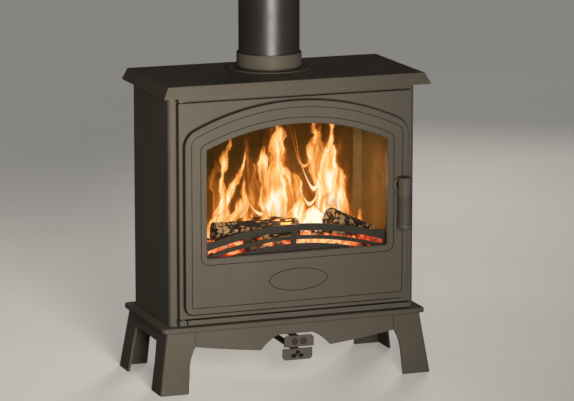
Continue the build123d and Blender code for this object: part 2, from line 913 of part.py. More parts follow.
with BuildPart() as door_casting:
    with BuildSketch(front_plane(y_door_back)):
        with Locations((0, (door_bottom + door_top) / 2)):
            RectangleRounded(2 * door_half, door_top - door_bottom, 2.0)
    extrude(amount=door_plate)
    fillet(door_casting.faces().sort_by(Axis.Y)[0].edges(), 1.2)
    with BuildSketch(front_plane(y_plate)):
        add(panel_face(-quirk_width))
    extrude(amount=-quirk_depth, mode=Mode.SUBTRACT)
    with BuildSketch(front_plane(y_plate + quirk_depth)):
        add(panel_face(0))
    extrude(amount=panel_rise + quirk_depth)
    fillet(door_casting.faces().sort_by(Axis.Y)[0].edges(), 2.0)
    # the two moulding lines
    with BuildSketch(front_plane(y_panel)):
        add(panel_face(outer_bead))
        add(panel_face(outer_bead + groove_width), mode=Mode.SUBTRACT)
    extrude(amount=-groove_depth, mode=Mode.SUBTRACT)
    with BuildSketch(front_plane(y_panel)):
        add(window_face(window_bead + groove_width))
        add(window_face(window_bead), mode=Mode.SUBTRACT)
    extrude(amount=-groove_depth, mode=Mode.SUBTRACT)
    # the plain oval
    with BuildSketch(front_plane(y_panel)):
        with Locations((0, door_bottom + badge_height)):
            Ellipse(badge_x_radius, badge_z_radius)
            Ellipse(badge_x_radius - groove_width, badge_z_radius - groove_width, mode=Mode.SUBTRACT)
    extrude(amount=-groove_depth, mode=Mode.SUBTRACT)
    # the boss that carries the handle's spindle
    with BuildSketch(front_plane(y_panel + groove_depth)):
        with Locations((handle_x, handle_z)):
            Circle(escutcheon_radius)
    extrude(amount=groove_depth + boss_rise, taper=8)
    with BuildSketch(front_plane(y_panel - boss_rise)):
        with Locations((handle_x, handle_z)):
            Circle(recess_radius)
    extrude(amount=-boss_rise - recess_depth, mode=Mode.SUBTRACT)
    with BuildSketch(front_plane(y_panel)):
        with Locations((handle_x, handle_z)):
            Circle(spindle_radius + spindle_clearance)
    extrude(amount=-through, mode=Mode.SUBTRACT)
    # the window, the glass seat and the recesses behind
    with BuildSketch(front_plane(y_panel)):
        add(window_face(0))
    extrude(amount=-through, mode=Mode.SUBTRACT)
    with BuildSketch(front_plane(y_panel + window_lip)):
        add(window_face(glass_overlap + pocket_clearance))
    extrude(amount=-through, mode=Mode.SUBTRACT)
    with BuildSketch(front_plane(shelf_y)):
        add(window_face(shelf))
    extrude(amount=-through, mode=Mode.SUBTRACT)
    with BuildSketch(front_plane(y_panel + skin)):
        with Locations((0, (hollow_low + hollow_high) / 2)):
            RectangleRounded(2 * (panel_half - hollow_margin), hollow_high - hollow_low, hollow_corner)
    extrude(amount=-through, mode=Mode.SUBTRACT)
    with BuildSketch(front_plane(seal_floor)):
        seal_outline(seal_radius)
        with BuildSketch(front_plane(seal_floor), mode=Mode.SUBTRACT):
            seal_outline(-seal_radius)
    extrude(amount=-20, mode=Mode.SUBTRACT)
    # the hinge bores, top and bottom
    for low, high in (
        (door_bottom - 1, door_bottom + hinge_pin_depth + 1),
        (door_top - hinge_pin_depth - 1, door_top + 1),
    ):
        with BuildSketch(Plane.XY.offset(low)):
            with Locations((hinge_x, hinge_y)):
                Circle(hinge_pin_radius + hinge_clearance)
        extrude(amount=high - low, mode=Mode.SUBTRACT)
    # the front edge of the glass opening is eased
    sight_edges = door_casting.edges().filter_by(
        lambda e: abs(e.center().Y - y_panel) < 0.01
        and abs(e.center().X) <= sight_half + 0.5
        and sight_bottom - 0.5 < e.center().Z < arch_centre + sight_radius + 0.5
    )
    chamfer(sight_edges, 2.5)
save(door_casting.part, "door_casting")

# ---------------------------------------------------------------- glass, gaskets, clips and rope seal
with BuildPart() as glass:
    with BuildSketch(front_plane(y_panel + window_lip + gasket_thickness + glass_thickness)):
        add(window_face(glass_overlap))
    extrude(amount=glass_thickness)
save(glass.part, "door_glass")

with BuildPart() as glass_gasket:
    with BuildSketch(front_plane(y_panel + window_lip + gasket_thickness)):
        add(window_face(glass_overlap))
        add(window_face(1.0), mode=Mode.SUBTRACT)
    extrude(amount=gasket_thickness)
save(glass_gasket.part, "glass_gasket")

clip_thickness = 3.0
clip_width = 24.0
clip_screw = 2.5
screw_head = 2.0
screw_head_height = 2.2
clip_outer = shelf - 2.0
clip_inner = 1.5
clip_reach = clip_outer - clip_inner
clip_side_heights = (sight_bottom + 40.0, sight_spring - 48.0)
clip_sill_x = 150.0
clip_centre_out = (clip_outer + clip_inner) / 2
screw_out = (glass_overlap + shelf) / 2
clip_spots = [(s * (sight_half + clip_centre_out), z, 0) for s in (-1, 1) for z in clip_side_heights]
clip_spots += [(s * clip_sill_x, sight_bottom - clip_centre_out, 90) for s in (-1, 1)]
screw_spots = [(s * (sight_half + screw_out), z) for s in (-1, 1) for z in clip_side_heights]
screw_spots += [(s * clip_sill_x, sight_bottom - screw_out) for s in (-1, 1)]

with BuildPart() as glass_clips:
    with BuildSketch(front_plane(shelf_y + clip_thickness)):
        for x, z, turn in clip_spots:
            with Locations(Location((x, z, 0), (0, 0, turn))):
                Rectangle(clip_reach, clip_width)
        with Locations(*screw_spots):
            Circle(clip_screw, mode=Mode.SUBTRACT)
    extrude(amount=clip_thickness)
save(glass_clips.part, "glass_clips")

with BuildPart() as clip_pads:
    with BuildSketch(front_plane(shelf_y)):
        for x, z, turn in clip_spots:
            with Locations(Location((x, z, 0), (0, 0, turn))):
                Rectangle(clip_reach, clip_width)
        add(window_face(glass_overlap), mode=Mode.INTERSECT)
    extrude(amount=gasket_thickness)
save(clip_pads.part, "clip_pads")

with BuildPart() as clip_screws:
    with BuildSketch(front_plane(shelf_y + clip_thickness + screw_head_height)):
        with Locations(*screw_spots):
            Circle(clip_screw + screw_head)
    extrude(amount=screw_head_height)
    with BuildSketch(front_plane(shelf_y + clip_thickness)):
        with Locations(*screw_spots):
            Circle(clip_screw)
    extrude(amount=clip_thickness)
save(clip_screws.part, "clip_screws")

with BuildPart() as door_rope:
    with BuildSketch(front_plane(seal_floor + seal_radius), mode=Mode.PRIVATE) as rope_outline:
        seal_outline(0)
    rope_path = rope_outline.sketch.face().outer_wire()
    with BuildSketch(Plane(origin=rope_path @ 0, z_dir=rope_path % 0)):
        Circle(seal_radius - 0.05)
    sweep(path=rope_path)
save(door_rope.part, "door_rope_seal")

# ---------------------------------------------------------------- handle, spindle and catch
grip_top = handle_z + handle_above
grip_bottom = handle_z - handle_below
ribs_top = grip_top - 46.0
rib_count = 11
rib_pitch = 6.0
rib_gap = 2.2
rib_cut = 1.6
spindle_grip = 8.0

with BuildPart() as grip:
    with BuildSketch(Plane(origin=(handle_x, handle_y, 0), x_dir=(1, 0, 0), z_dir=(0, -1, 0))):
        with BuildLine():
            Polyline(
                (0, grip_bottom),
                (handle_radius, grip_bottom),
                (handle_radius, grip_top),
                (0, grip_top),
                close=True,
            )
        make_face()
    revolve(axis=Axis((handle_x, handle_y, 0), (0, 0, 1)))
    fillet(grip.faces().sort_by(Axis.Z)[-1].edges(), 4.0)
    fillet(grip.faces().sort_by(Axis.Z)[0].edges(), 6.0)
    for n in range(rib_count + 1):
        with BuildSketch(Plane.XY.offset(ribs_top - n * rib_pitch - rib_gap)):
            with Locations((handle_x, handle_y)):
                Circle(handle_radius + 1)
                Circle(handle_radius - rib_cut, mode=Mode.SUBTRACT)
        extrude(amount=rib_gap, mode=Mode.SUBTRACT)
    with BuildSketch(front_plane(handle_y + handle_radius + 1)):
        with Locations((handle_x, handle_z)):
            Circle(spindle_radius)
    extrude(amount=handle_radius + 1 + spindle_grip, mode=Mode.SUBTRACT)
save(grip.part, "handle_grip")

keeper_back = y_front + casting + keeper_plate
tongue_front = keeper_back + tongue_play
tongue_back = tongue_front + tongue_plate
nut_back = tongue_back + nut_thickness


def round_bar(y_low, y_high, radius):
    """A bar along the handle's axis between two depths, added to the part being built."""
    with BuildSketch(front_plane(y_high)) as section:
        with Locations((handle_x, handle_z)):
            Circle(radius)
    extrude(section.sketch, amount=y_high - y_low)


with BuildPart() as spindle:
    round_bar(handle_y - spindle_grip, tongue_front, spindle_radius)
    round_bar(tongue_front, nut_back, thread_radius)
save(spindle.part, "handle_spindle")

collar_lip = 1.6
with BuildPart() as spindle_collar:
    with BuildSketch(front_plane(y_panel + recess_depth - 0.4)):
        with Locations((handle_x, handle_z)):
            Circle(spindle_radius + collar_lip)
            Circle(spindle_radius, mode=Mode.SUBTRACT)
    extrude(amount=recess_depth - 0.4 + boss_rise + 1.5)
save(spindle_collar.part, "spindle_collar")

with BuildPart() as tongue:
    with BuildSketch(front_plane(tongue_back)):
        with Locations((handle_x, handle_z - tongue_reach / 2)):
            RectangleRounded(2 * spindle_radius, tongue_reach + 2 * spindle_radius, spindle_radius - 0.5)
        with Locations((handle_x, handle_z)):
            Circle(thread_radius, mode=Mode.SUBTRACT)
    extrude(amount=tongue_plate)
save(tongue.part, "latch_tongue")

with BuildPart() as nut:
    with BuildSketch(front_plane(nut_back)):
        with Locations((handle_x, handle_z)):
            RegularPolygon(nut_radius, 6)
            Circle(thread_radius, mode=Mode.SUBTRACT)
    extrude(amount=nut_thickness)
save(nut.part, "spindle_nut")

keeper_length = 44.0
keeper_width = 14.0
with BuildPart() as keeper:
    with BuildSketch(front_plane(keeper_back)):
        with Locations((opening_half + keeper_width / 2, handle_z - tongue_reach)):
            Rectangle(keeper_width, keeper_length)
    extrude(amount=keeper_plate)
save(keeper.part, "latch_keeper")

# ---------------------------------------------------------------- ash pan runners
with BuildPart() as runners:
    with BuildSketch(Plane.XY.offset(plinth_top + steel)):
        for s in (-1, 1):
            with Locations((s * (pan_half - runner_width), (pan_front + pan_back) / 2)):
                Rectangle(runner_width, pan_back - pan_front)
    extrude(amount=runner_height)
save(runners.part, "ash_pan_runners")

# ---------------------------------------------------------------- air controls
damper_thickness = 3.0
damper_play = 0.3
damper_width = 60.0
damper_lap = 13.0
damper_top = leg_height - damper_play
damper_bottom = damper_top - damper_thickness
strap_width = 20.0
strap_thickness = 3.0
wood_tag_bottom = 97.0
coal_tag_bottom = 62.0
tag_corner = 9.0
wood_tag_front = y_front - 43.0
coal_tag_front = y_front - 33.0
wood_strap_z = wood_tag_bottom + 18.0
coal_strap_z = coal_tag_bottom + 22.0
drop_setback = 16.0


def plank(x_half, y_low, y_high, z_low, z_high):
    """A flat or upright length of strap centred in x, added to the part being built."""
    with BuildSketch(Plane.XY.offset(z_low)) as section:
        rectangle_between(x_half, y_low, y_high)
    extrude(section.sketch, amount=z_high - z_low)


def air_slide(port_y, pulled, tag_front, strap_z):
    """A damper plate and its bent strap; its window meets the port when it is pulled right out."""
    low = port_y - damper_lap - pulled
    high = port_y + air_travel + damper_lap - pulled
    drop = low - drop_setback
    with BuildSketch(Plane.XY.offset(damper_bottom)) as plate:
        rectangle_between(damper_width / 2, low, high)
        with Locations((0, port_y + air_travel - pulled)):
            Rectangle(port_length, port_width, mode=Mode.SUBTRACT)
    extrude(plate.sketch, amount=damper_thickness)
    plank(strap_width / 2, drop, low + 1, damper_bottom, damper_top)
    plank(strap_width / 2, drop, drop + strap_thickness, strap_z, damper_top)
    plank(strap_width / 2, tag_front + tag_thickness, drop + 1, strap_z, strap_z + strap_thickness)


def tag_shape(front, bottom, round_top):
    """A tag plate with two rounded corners, standing on its edge."""
    with BuildSketch(front_plane(front + tag_thickness)) as outline:
        with Locations((0, bottom + tag_height / 2)):
            Rectangle(tag_width, tag_height)
        ends = outline.vertices().group_by(Axis.Y)
        fillet(ends[-1] if round_top else ends[0], tag_corner)
    extrude(outline.sketch, amount=tag_thickness)


with BuildPart() as wood_slide:
    air_slide(wood_port_y, wood_pulled, wood_tag_front, wood_strap_z)
save(wood_slide.part, "wood_air_slide")

with BuildPart() as wood_tag:
    tag_shape(wood_tag_front, wood_tag_bottom, True)
save(wood_tag.part, "wood_air_tag")

with BuildPart() as coal_slide:
    air_slide(coal_port_y, 0, coal_tag_front, coal_strap_z)
save(coal_slide.part, "coal_air_slide")

with BuildPart() as coal_tag:
    tag_shape(coal_tag_front, coal_tag_bottom, False)
save(coal_tag.part, "coal_air_tag")

guide_length = 116.0
guide_wall = 5.0
guide_lip = 3.0
guide_play = 0.5
lip_top = damper_bottom - damper_play
lip_bottom = lip_top - 3.0
near = damper_width / 2 + guide_play
with BuildPart() as guides:
    for port_y in (wood_port_y, coal_port_y):
        for s in (-1, 1):
            with BuildSketch(front_plane(port_y + guide_length / 2)):
                with BuildLine():
                    Polyline(
                        (s * near, leg_height),
                        (s * (near + guide_wall), leg_height),
                        (s * (near + guide_wall), lip_bottom),
                        (s * (near - guide_lip), lip_bottom),
                        (s * (near - guide_lip), lip_top),
                        (s * near, lip_top),
                        close=True,
                    )
                make_face()
            extrude(amount=guide_length)
save(guides.part, "damper_guides")
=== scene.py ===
# %% [markdown]
# # A free-standing stove with a fire in it
#
# The solid parts come packed, already in their places, and this script gives them their looks: matt
# stove paint, sooty castings, warm fire brick and clear glass. Then it adds what a solid model can't
# hold well: barked logs, a bed of coals, flames and the little signs on the air controls. Everything is
# in metres, +Z is up and the door faces -Y.

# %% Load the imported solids
import math
import bpy
import numpy as np
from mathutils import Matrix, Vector


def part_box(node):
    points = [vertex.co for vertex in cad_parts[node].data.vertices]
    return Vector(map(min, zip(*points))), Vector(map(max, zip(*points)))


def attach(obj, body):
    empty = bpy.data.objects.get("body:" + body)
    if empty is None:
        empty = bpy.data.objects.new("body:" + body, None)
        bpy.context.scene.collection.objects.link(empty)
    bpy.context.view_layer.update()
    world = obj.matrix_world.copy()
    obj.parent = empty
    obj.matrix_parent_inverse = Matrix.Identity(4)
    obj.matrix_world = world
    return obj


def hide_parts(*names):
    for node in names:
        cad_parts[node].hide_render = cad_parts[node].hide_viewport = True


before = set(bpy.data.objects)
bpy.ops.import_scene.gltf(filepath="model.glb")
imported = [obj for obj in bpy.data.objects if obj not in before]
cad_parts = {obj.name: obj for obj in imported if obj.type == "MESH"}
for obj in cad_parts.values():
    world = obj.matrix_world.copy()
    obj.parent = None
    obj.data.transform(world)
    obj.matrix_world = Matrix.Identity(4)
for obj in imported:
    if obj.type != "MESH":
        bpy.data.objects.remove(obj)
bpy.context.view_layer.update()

scene = bpy.context.scene


def corners(node):
    """A node's lowest and highest corner as two numpy rows."""
    low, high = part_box(node)
    return np.array(low), np.array(high)


# %% [markdown]
# ## The camera and the light
#
# A long lens from the stove's left, a little above its top, shows the arched door and the dark left side
# together. One large soft light stands in front, a little left of the middle: the satin door catches it,
# while the side and the top turn away from it and go nearly black, as dark paint does. Two more
# behind keep the back readable and are hidden from the camera. The floor is plain and pale.

# %% Camera
lens_mm = 203.51
camera_place = (-2.6974, -7.3195, 2.0045)
camera_tilt = math.radians(78.5914)
camera_turn = math.radians(-20.3995)


def add_camera():
    """A long lens looking slightly down, with no roll, no shift and no blur."""
    data = bpy.data.cameras.new("camera")
    data.sensor_width = 36.0
    data.lens = lens_mm
    data.dof.use_dof = False
    camera = bpy.data.objects.new("camera", data)
    scene.collection.objects.link(camera)
    camera.location = camera_place
    camera.rotation_euler = (camera_tilt, 0.0, camera_turn)
    scene.camera = camera
    print("camera at", camera_place)


add_camera()

# %% Lights
beam = math.radians(58)
warm_white = (1.0, 0.945, 0.86)
soft_white = (1.0, 0.97, 0.93)


def add_area(name, place, target, size, energy, colour):
    """A square soft light at place that faces target; size is in metres and energy in watts."""
    data = bpy.data.lights.new(name, "AREA")
    data.size = size
    data.energy = energy
    data.color = colour
    data.spread = beam
    lamp = bpy.data.objects.new(name, data)
    scene.collection.objects.link(lamp)
    lamp.location = place
    aim = Vector(target) - Vector(place)
    lamp.rotation_euler = aim.to_track_quat("-Z", "Y").to_euler()
    return lamp


add_area("key_light", (-0.62, -3.0, 0.88), (-0.42, 0, 0.60), 1.0, 18.8, warm_white)
for name, place, energy in (
    ("back_right_light", (2.3, 3.5, 1.15), 17.0),
    ("back_left_light", (-2.7, 3.6, 0.9), 4.0),
):
    lamp = add_area(name, place, (0, 0, 0.45), 1.4, energy, soft_white)
    lamp.visible_camera = False
    lamp.visible_glossy = False
world = bpy.data.worlds.new("studio")
scene.world = world
world.use_nodes = True
world.node_tree.nodes["Background"].inputs["Color"].default_value = (0.9, 0.88, 0.84, 1)
world.node_tree.nodes["Background"].inputs["Strength"].default_value = 0.045
scene.view_settings.view_transform = "Standard"


# %% [markdown]
# ## Tools for materials
#
# Each finish is a small network of nodes. The helpers below add a node and set its sockets in one line,
# so that a material reads as a recipe. Patterns use Object coordinates: every object here sits at the
# origin with its shape in metres, so a noise scale of 900 gives grain of about a millimetre.

# %% Node helpers
def new_material(name):
    """An empty node material; returns the material and its node tree."""
    material = bpy.data.materials.new(name)
    material.use_nodes = True
    tree = material.node_tree
    tree.nodes.clear()
    return material, tree


def node(tree, kind, **sockets):
    """Adds a node and sets its input sockets by name, with underscores for spaces."""
    made = tree.nodes.new(kind)
    for key, value in sockets.items():
        made.inputs[key.replace("_", " ")].default_value = value
    return made


def noise(tree, scale, detail=3.0, rough=0.55, stretch=(1, 1, 1)):
    """Noise on Object coordinates, optionally stretched along the axes."""
    where = tree.nodes.new("ShaderNodeTexCoord")
    mapping = node(tree, "ShaderNodeMapping", Scale=stretch)
    made = node(tree, "ShaderNodeTexNoise", Scale=scale, Detail=detail, Roughness=rough)
    tree.links.new(where.outputs["Object"], mapping.inputs["Vector"])
    tree.links.new(mapping.outputs["Vector"], made.inputs["Vector"])
    return made


def ramp(tree, source, *stops):
    """A colour ramp driven by source; stops are (position, colour)."""
    made = tree.nodes.new("ShaderNodeValToRGB")
    elements = made.color_ramp.elements
    while len(elements) < len(stops):
        elements.new(0.5)
    for element, (position, colour) in zip(elements, stops):
        element.position = position
        element.color = (*colour, 1.0)
    tree.links.new(source, made.inputs["Fac"])
    return made


def attribute(tree, name):
    """The output that reads one of the mesh's own numbers."""
    made = tree.nodes.new("ShaderNodeAttribute")
    made.attribute_name = name
    return made.outputs["Fac"]


def bump(tree, source, depth, strength=1.0, below=None):
    """A bump of the given depth in metres, on top of another bump if below is given."""
    made = node(tree, "ShaderNodeBump", Distance=depth, Strength=strength)
    tree.links.new(source, made.inputs["Height"])
    if below is not None:
        tree.links.new(below.outputs["Normal"], made.inputs["Normal"])
    return made


def finish(tree, shader_output):
    """Connects a shader to the material's surface."""
    out = tree.nodes.new("ShaderNodeOutputMaterial")
    tree.links.new(shader_output, out.inputs["Surface"])


def surface(tree, colour, rough=None, normal=None, glow=None, **sockets):
    """The Principled shader; colour, rough, normal and glow are output sockets or None."""
    shader = node(tree, "ShaderNodeBsdfPrincipled", **sockets)
    links = (("Base Color", colour), ("Roughness", rough), ("Normal", normal), ("Emission Color", glow))
    for name, source in links:
        if source is not None:
            tree.links.new(source, shader.inputs[name])
    finish(tree, shader.outputs["BSDF"])


def grey(level):
    """The same number three times."""
    return (level, level, level)


# %% [markdown]
# ## Paint and iron
#
# Stove paint is sprayed on, matt and slightly gritty. Up close it has a fine tooth, and over the whole
# panel its tone drifts a little, with faint handling marks that only change how it shines. Corners and
# grooves take painted shade, a darkening of the colour where shade falls. The same recipe makes the
# warm grey body colour, the darker pipe and the small signs.

# %% Painted finishes
painted_shade_reach = 0.006


def paint(name, dark, light, rough_low, rough_high, tooth=0.00012, shine_level=0.22):
    """Sprayed paint: a slow drift between two tones, patchy shine, a fine tooth, and painted shade that
    darkens the colour in corners and grooves.
    """
    material, tree = new_material(name)
    drift = noise(tree, 5.0, 4.0, 0.6)
    tone = ramp(tree, drift.outputs["Fac"], (0.3, dark), (0.72, light))
    handling = noise(tree, 26.0, 5.0, 0.62)
    shine = ramp(tree, handling.outputs["Fac"], (0.3, grey(rough_low)), (0.7, grey(rough_high)))
    grain = noise(tree, 1500.0, 2.0, 0.5)
    orange_peel = noise(tree, 210.0, 2.0, 0.5)
    tooth_bump = bump(tree, grain.outputs["Fac"], tooth, 0.6)
    peel_bump = bump(tree, orange_peel.outputs["Fac"], tooth * 2.2, 0.5, tooth_bump)
    # Painted shade: ambient occlusion darkens the paint colour in corners, grooves and recesses, where
    # shade falls.
    corner_shade = node(tree, "ShaderNodeAmbientOcclusion", Distance=painted_shade_reach)
    corner_shade.samples = 8
    shade = ramp(tree, corner_shade.outputs["AO"], (0.25, grey(0.12)), (0.85, grey(1.0)))
    shaded = tree.nodes.new("ShaderNodeMix")
    shaded.data_type = "RGBA"
    shaded.blend_type = "MULTIPLY"
    shaded.inputs["Factor"].default_value = 1.0
    tree.links.new(tone.outputs["Color"], shaded.inputs["A"])
    tree.links.new(shade.outputs["Color"], shaded.inputs["B"])
    surface(
        tree, shaded.outputs["Result"], shine.outputs["Color"], peel_bump.outputs["Normal"],
        Specular_IOR_Level=shine_level,
    )
    return material


body_paint = paint(
    "warm_grey_stove_paint", (0.070, 0.060, 0.046), (0.086, 0.074, 0.057), 0.54, 0.68)
pipe_paint = paint(
    "black_pipe_paint", (0.016, 0.014, 0.012), (0.024, 0.021, 0.018), 0.34, 0.44, 0.00008, 0.55)
sign_ink = paint(
    "black_sign_ink", (0.004, 0.004, 0.004), (0.007, 0.007, 0.006), 0.7, 0.8, 0.0001, 0.15)
print("paints made:", body_paint.name, pipe_paint.name, sign_ink.name)


# %% Iron, plated steel and machined steel
def metal(
    name, dark, light, rough_low, rough_high, metallic, pit_scale, pit_depth, stretch=(1, 1, 1)
):
    """Bare or sooty metal: mottled colour, uneven shine and pits; stretch draws the grain out."""
    material, tree = new_material(name)
    mottle = noise(tree, 38.0, 6.0, 0.65)
    tone = ramp(tree, mottle.outputs["Fac"], (0.32, dark), (0.7, light))
    pits = noise(tree, pit_scale, 4.0, 0.6, stretch)
    shine = ramp(tree, pits.outputs["Fac"], (0.3, grey(rough_low)), (0.75, grey(rough_high)))
    relief = bump(tree, pits.outputs["Fac"], pit_depth, 0.7)
    surface(
        tree, tone.outputs["Color"], shine.outputs["Color"], relief.outputs["Normal"], Metallic=metallic)
    return material


sooty_iron = metal(
    "sooty_cast_iron", (0.012, 0.011, 0.009), (0.030, 0.027, 0.022), 0.6, 0.85, 0.0, 420.0, 0.0005)
plated_steel = metal(
    "dull_plated_steel", (0.30, 0.29, 0.27), (0.45, 0.44, 0.41), 0.3, 0.5, 1.0, 600.0, 0.00006)
machined = metal(
    "machined_steel", (0.16, 0.15, 0.14), (0.30, 0.29, 0.27), 0.28, 0.42, 1.0, 900.0, 0.00004, (1, 8, 1))
print("metals made:", sooty_iron.name, plated_steel.name, machined.name)


# %% [markdown]
# ## Brick, rope and glass
#
# The fire bricks are light board: tan, blotchy and full of tiny pores. They stand right beside the fire,
# so besides the light that falls on them a faint warm glow is painted in, strongest just above the fuel
# and fading towards the top, which keeps the chamber warm from every side. This painted light is also
# what makes the brick darker higher up. The glass is a thin clear sheet: it lets almost everything
# through and reflects a little more at a slant.

# %% Fire brick
bed_top = corners("ember_bed")[1][2]
warm_height = 0.30


def fire_brick():
    """Porous, blotchy tan board with painted light: a warm glow strongest at the fuel that fades upwards,
    darkening the brick with height.
    """
    material, tree = new_material("porous_fire_brick")
    blotch = noise(tree, 14.0, 6.0, 0.62)
    tone = ramp(
        tree, blotch.outputs["Fac"], (0.28, (0.040, 0.026, 0.008)), (0.6, (0.10, 0.064, 0.021)),
        (0.8, (0.155, 0.10, 0.037)),
    )
    pores = noise(tree, 520.0, 3.0, 0.6)
    flakes = noise(tree, 130.0, 4.0, 0.6)
    pore_bump = bump(tree, pores.outputs["Fac"], 0.0005, 0.8)
    flake_bump = bump(tree, flakes.outputs["Fac"], 0.0009, 0.6, pore_bump)
    # Painted light: an emitted warm glow, strongest just above the fuel and fading upwards, stands in for
    # the fire's light on the brick.
    where = tree.nodes.new("ShaderNodeTexCoord")
    split = tree.nodes.new("ShaderNodeSeparateXYZ")
    tree.links.new(where.outputs["Object"], split.inputs["Vector"])
    height = node(tree, "ShaderNodeMapRange", From_Min=bed_top, From_Max=bed_top + warm_height)
    tree.links.new(split.outputs["Z"], height.inputs["Value"])
    glow = ramp(
        tree, height.outputs["Result"], (0.0, (0.22, 0.085, 0.012)), (0.45, (0.050, 0.030, 0.005)),
        (1.0, (0.012, 0.008, 0.001)),
    )
    surface(
        tree, tone.outputs["Color"], None, flake_bump.outputs["Normal"], glow.outputs["Color"],
        Roughness=0.92, Emission_Strength=0.5,
    )
    return material


brick_board = fire_brick()
print("brick made, warm from", round(float(bed_top), 3), "m up")


# %% Rope, gasket and glass
def knitted_rope():
    """Dark glass-fibre rope: small rounded cells make the knit, and a fuzz covers it."""
    material, tree = new_material("knitted_rope")
    where = tree.nodes.new("ShaderNodeTexCoord")
    knit = node(tree, "ShaderNodeTexVoronoi", Scale=420.0)
    tree.links.new(where.outputs["Object"], knit.inputs["Vector"])
    fuzz = noise(tree, 1900.0, 2.0, 0.6)
    tone = ramp(tree, knit.outputs["Distance"], (0.0, (0.055, 0.053, 0.050)), (0.6, (0.014, 0.013, 0.012)))
    knit_bump = bump(tree, knit.outputs["Distance"], 0.0009, 0.9)
    fuzz_bump = bump(tree, fuzz.outputs["Fac"], 0.0002, 0.6, knit_bump)
    surface(tree, tone.outputs["Color"], None, fuzz_bump.outputs["Normal"], Roughness=0.95)
    return material


def thin_glass():
    """A clear, faintly smoky sheet whose front side mirrors a little, and more so at a slant.

    Share mirrored = Fresnel share x (1 - backfacing), so the back side never mirrors.
    """
    material, tree = new_material("clear_stove_glass")
    clear = node(tree, "ShaderNodeBsdfTransparent", Color=(0.93, 0.915, 0.89, 1))
    gloss = node(tree, "ShaderNodeBsdfGlossy", Color=(0.8, 0.8, 0.8, 1), Roughness=0.04)
    facing = node(tree, "ShaderNodeFresnel", IOR=1.22)
    mixed = tree.nodes.new("ShaderNodeMixShader")
    side = tree.nodes.new("ShaderNodeNewGeometry")
    entering = tree.nodes.new("ShaderNodeMath")
    entering.operation = "SUBTRACT"
    entering.inputs[0].default_value = 1.0
    tree.links.new(side.outputs["Backfacing"], entering.inputs[1])
    share = tree.nodes.new("ShaderNodeMath")
    share.operation = "MULTIPLY"
    tree.links.new(facing.outputs["Fac"], share.inputs[0])
    tree.links.new(entering.outputs["Value"], share.inputs[1])
    tree.links.new(share.outputs["Value"], mixed.inputs["Fac"])
    tree.links.new(clear.outputs["BSDF"], mixed.inputs[1])
    tree.links.new(gloss.outputs["BSDF"], mixed.inputs[2])
    finish(tree, mixed.outputs["Shader"])
    return material


rope = knitted_rope()
glass = thin_glass()
print("rope and glass made:", rope.name, glass.name)


# %% [markdown]
# ## Painting the solids
#
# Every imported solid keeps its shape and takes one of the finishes. A table of names is enough, and what
# isn't in it gets the body paint, because most of a stove is painted.

# %% Finish of each solid
finishes = {
    pipe_paint: ["flue_pipe"],
    sooty_iron: [
        "grate", "grate_supports", "log_fence", "ash_pan", "ash_pan_runners", "airwash_deflector",
        "body_floor", "hinge_pins", "hinge_washers",
    ],
    plated_steel: [
        "leg_bolts", "rear_cover_bolts", "clip_screws", "glass_clips", "spindle_nut", "latch_keeper",
        "latch_tongue",
    ],
    machined: ["handle_spindle"],
    brick_board: [
        "firebrick_left", "firebrick_right", "firebrick_rear_left", "firebrick_rear_right", "baffle_plate",
    ],
    rope: ["door_rope_seal", "glass_gasket", "clip_pads", "flue_seal"],
    glass: ["door_glass"],
}
finish_of = {name: material for material, names in finishes.items() for name in names}


def assign(solid, material):
    """Puts one material in every slot of a solid, adding a slot if it has none."""
    if not solid.data.materials:
        solid.data.materials.append(material)
    for index in range(len(solid.data.materials)):
        solid.data.materials[index] = material


for name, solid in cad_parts.items():
    assign(solid, finish_of.get(name, body_paint))
print("painted", len(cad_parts), "solids")


# %% [markdown]
# ## Numbers that look natural
#
# Bark, coals and flames all need randomness that is smooth and repeatable. Value noise does it: random
# heights on a square lattice, joined by smooth steps, and several sizes of it added together. The
# lattice comes from a fixed seed, so each run gives the same fire.

# %% Smooth noise and meshes from grids
lattice = 256


def lattice_noise(x, y, seed, wrap=None):
    """Random heights at whole numbers, blended by the smooth step 3t^2 - 2t^3; wrap joins x to itself."""
    table = np.random.default_rng(seed).random((lattice, lattice))
    x0 = np.floor(x).astype(int)
    y0 = np.floor(y).astype(int)
    tx = x - x0
    ty = y - y0
    tx = tx * tx * (3 - 2 * tx)
    ty = ty * ty * (3 - 2 * ty)
    period = wrap or lattice
    left = x0 % period
    right = (x0 + 1) % period
    here = y0 % lattice
    above = (y0 + 1) % lattice
    low = table[left, here] * (1 - tx) + table[right, here] * tx
    high = table[left, above] * (1 - tx) + table[right, above] * tx
    return low * (1 - ty) + high * ty


def layered_noise(x, y, seed, octaves=4, wrap=None):
    """Several lattice noises added, each twice as fine and half as strong; the result runs 0 to 1."""
    total = np.zeros_like(x)
    weight = 0.0
    for k in range(octaves):
        share = 0.5 ** k
        total += share * lattice_noise(x * 2 ** k, y * 2 ** k, seed + k, wrap and wrap * 2 ** k)
        weight += share
    return total / weight


def step_between(low, high, value):
    """0 below low, 1 above high and the smooth step 3t^2 - 2t^3 between them."""
    t = np.clip((value - low) / (high - low), 0, 1)
    return t * t * (3 - 2 * t)


def vein(values):
    """Turns noise into thin lines: 1 - |2v - 1| is 1 where the noise v passes one half."""
    return 1 - np.abs(2 * values - 1)


